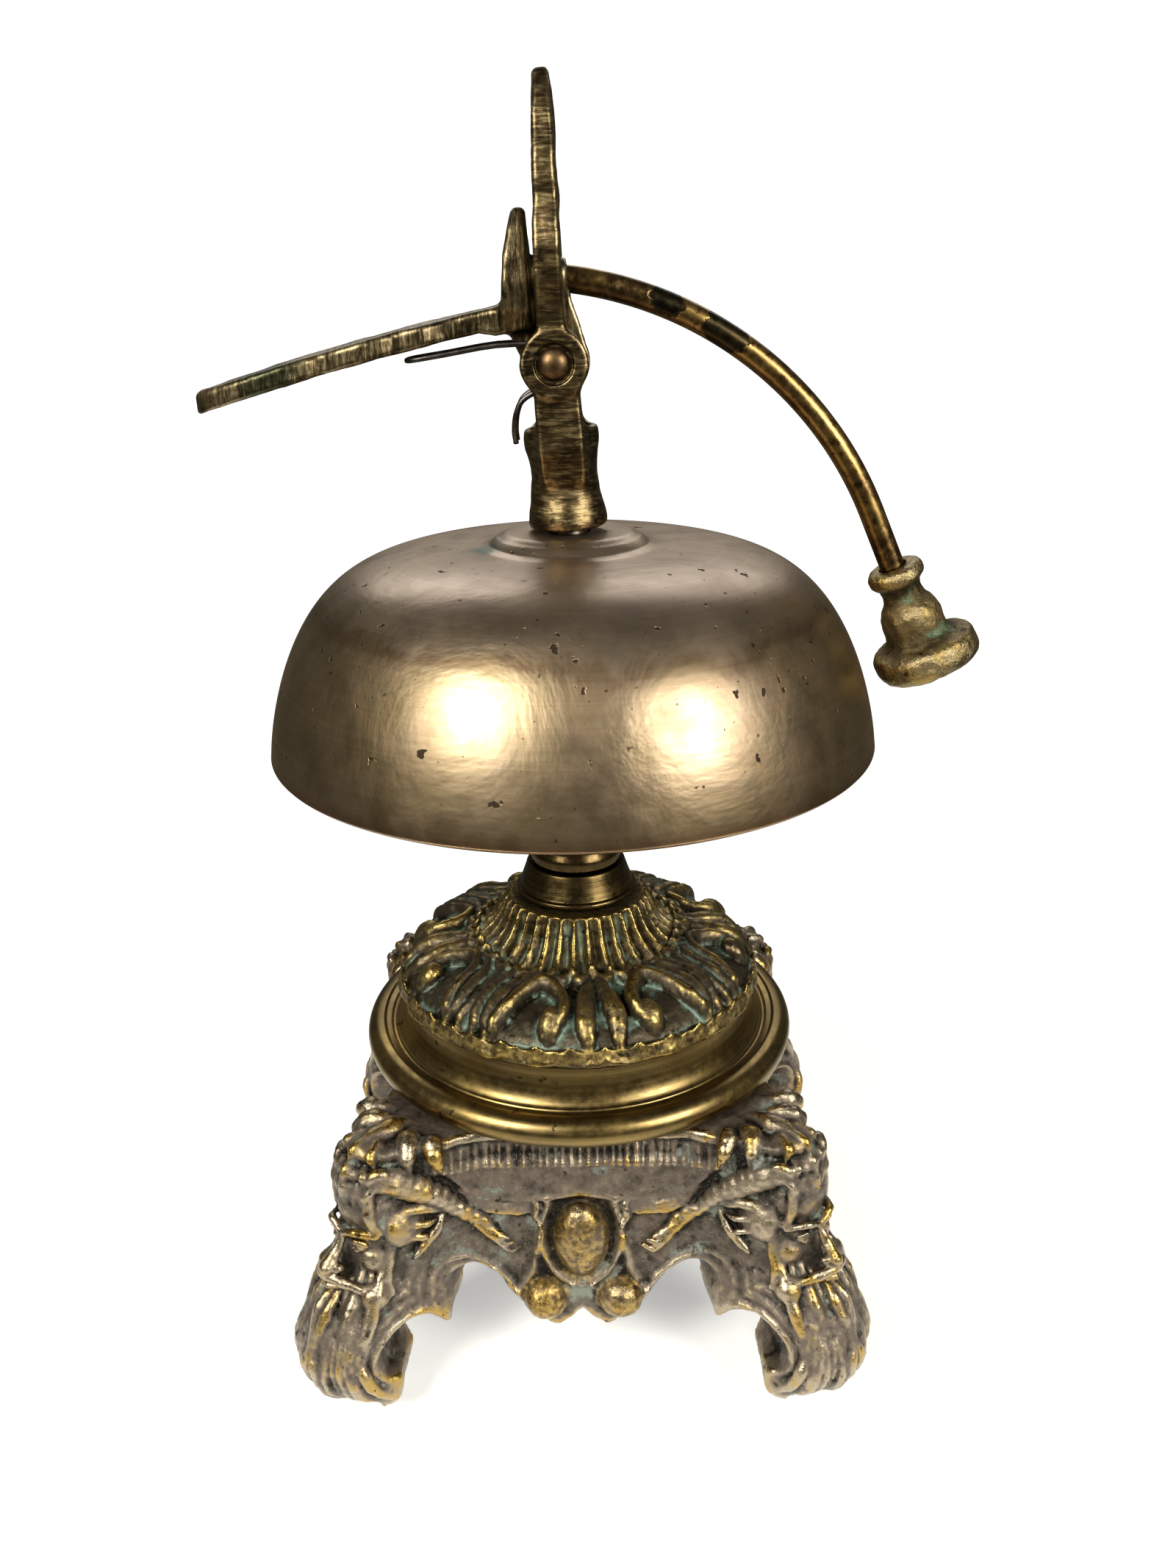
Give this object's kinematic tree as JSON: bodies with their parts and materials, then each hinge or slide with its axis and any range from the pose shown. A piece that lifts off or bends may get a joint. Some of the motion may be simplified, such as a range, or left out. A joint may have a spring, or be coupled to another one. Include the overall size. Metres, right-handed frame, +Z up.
{
  "type": "service bell",
  "caption": "Counter service bell on a square ornamental cast base, struck by a sprung finger lever with a hammer on a bent rod.",
  "frame": {"origin": "on the table, under the middle of the whole bell's box", "axes": "+Z up, finger plate towards -X, hammer towards +X, +Y away from the person it is shown to"},
  "size_m": [0.0998, 0.0808, 0.1661],
  "materials": {
    "base_bronze": "rough cast bronze, dull brown with verdigris in the hollows and worn gilt high points",
    "ring_brass": "turned and brushed, satin, darkened in the groove",
    "rosette_bronze": "cast, dark patina with pale green hollows and gilt ridges",
    "collar_brass": "turned, dark satin",
    "tube_brass": "turned, dark satin",
    "fibre": "hard fibre, matt dark red-brown",
    "bell_metal": "satin aged bell bronze with fine turning scratches, dark pits and a pinkish oxide",
    "rod_steel": "plain dark steel",
    "washer_steel": "plain dull steel",
    "nut_steel": "plain dull steel",
    "fork_bronze": "cast and hand filed, cross file marks, brown patina",
    "pin_brass": "hammered rivet heads, brown",
    "lever_bronze": "cast and hand filed edges, greyish gold with a green-black spot",
    "hammer_rod_brass": "drawn rod, brown satin with two dark spots",
    "hammer_bronze": "rough cast, gold-brown with a green spot",
    "spring_steel": "dark oiled spring wire"
  },
  "bodies": {
    "stand": {"base_casting": "base_bronze", "base_ring": "ring_brass", "rosette": "rosette_bronze", "stem_collar": "collar_brass", "stem_tube": "tube_brass", "bell_seat_washer": "fibre", "bell_dome": "bell_metal", "tie_rod": "rod_steel", "base_washer": "washer_steel", "base_nut": "nut_steel", "fork_post": "fork_bronze", "pivot_pin": "pin_brass"},
    "lever": {"lever_casting": "lever_bronze", "hammer_rod": "hammer_rod_brass", "hammer_head": "hammer_bronze", "return_spring": "spring_steel"}
  },
  "joints": [
    {"name": "lever_pivot", "type": "hinge", "parent": "stand", "child": "lever", "pos_m": [-0.00551, 0, 0.13406], "axis": [0, -1, 0], "range_deg": [-1.8, 25], "stiffness_Nm_per_rad": 0.2, "springref_deg": 1.72, "deforming": ["return_spring"]}
  ]
}
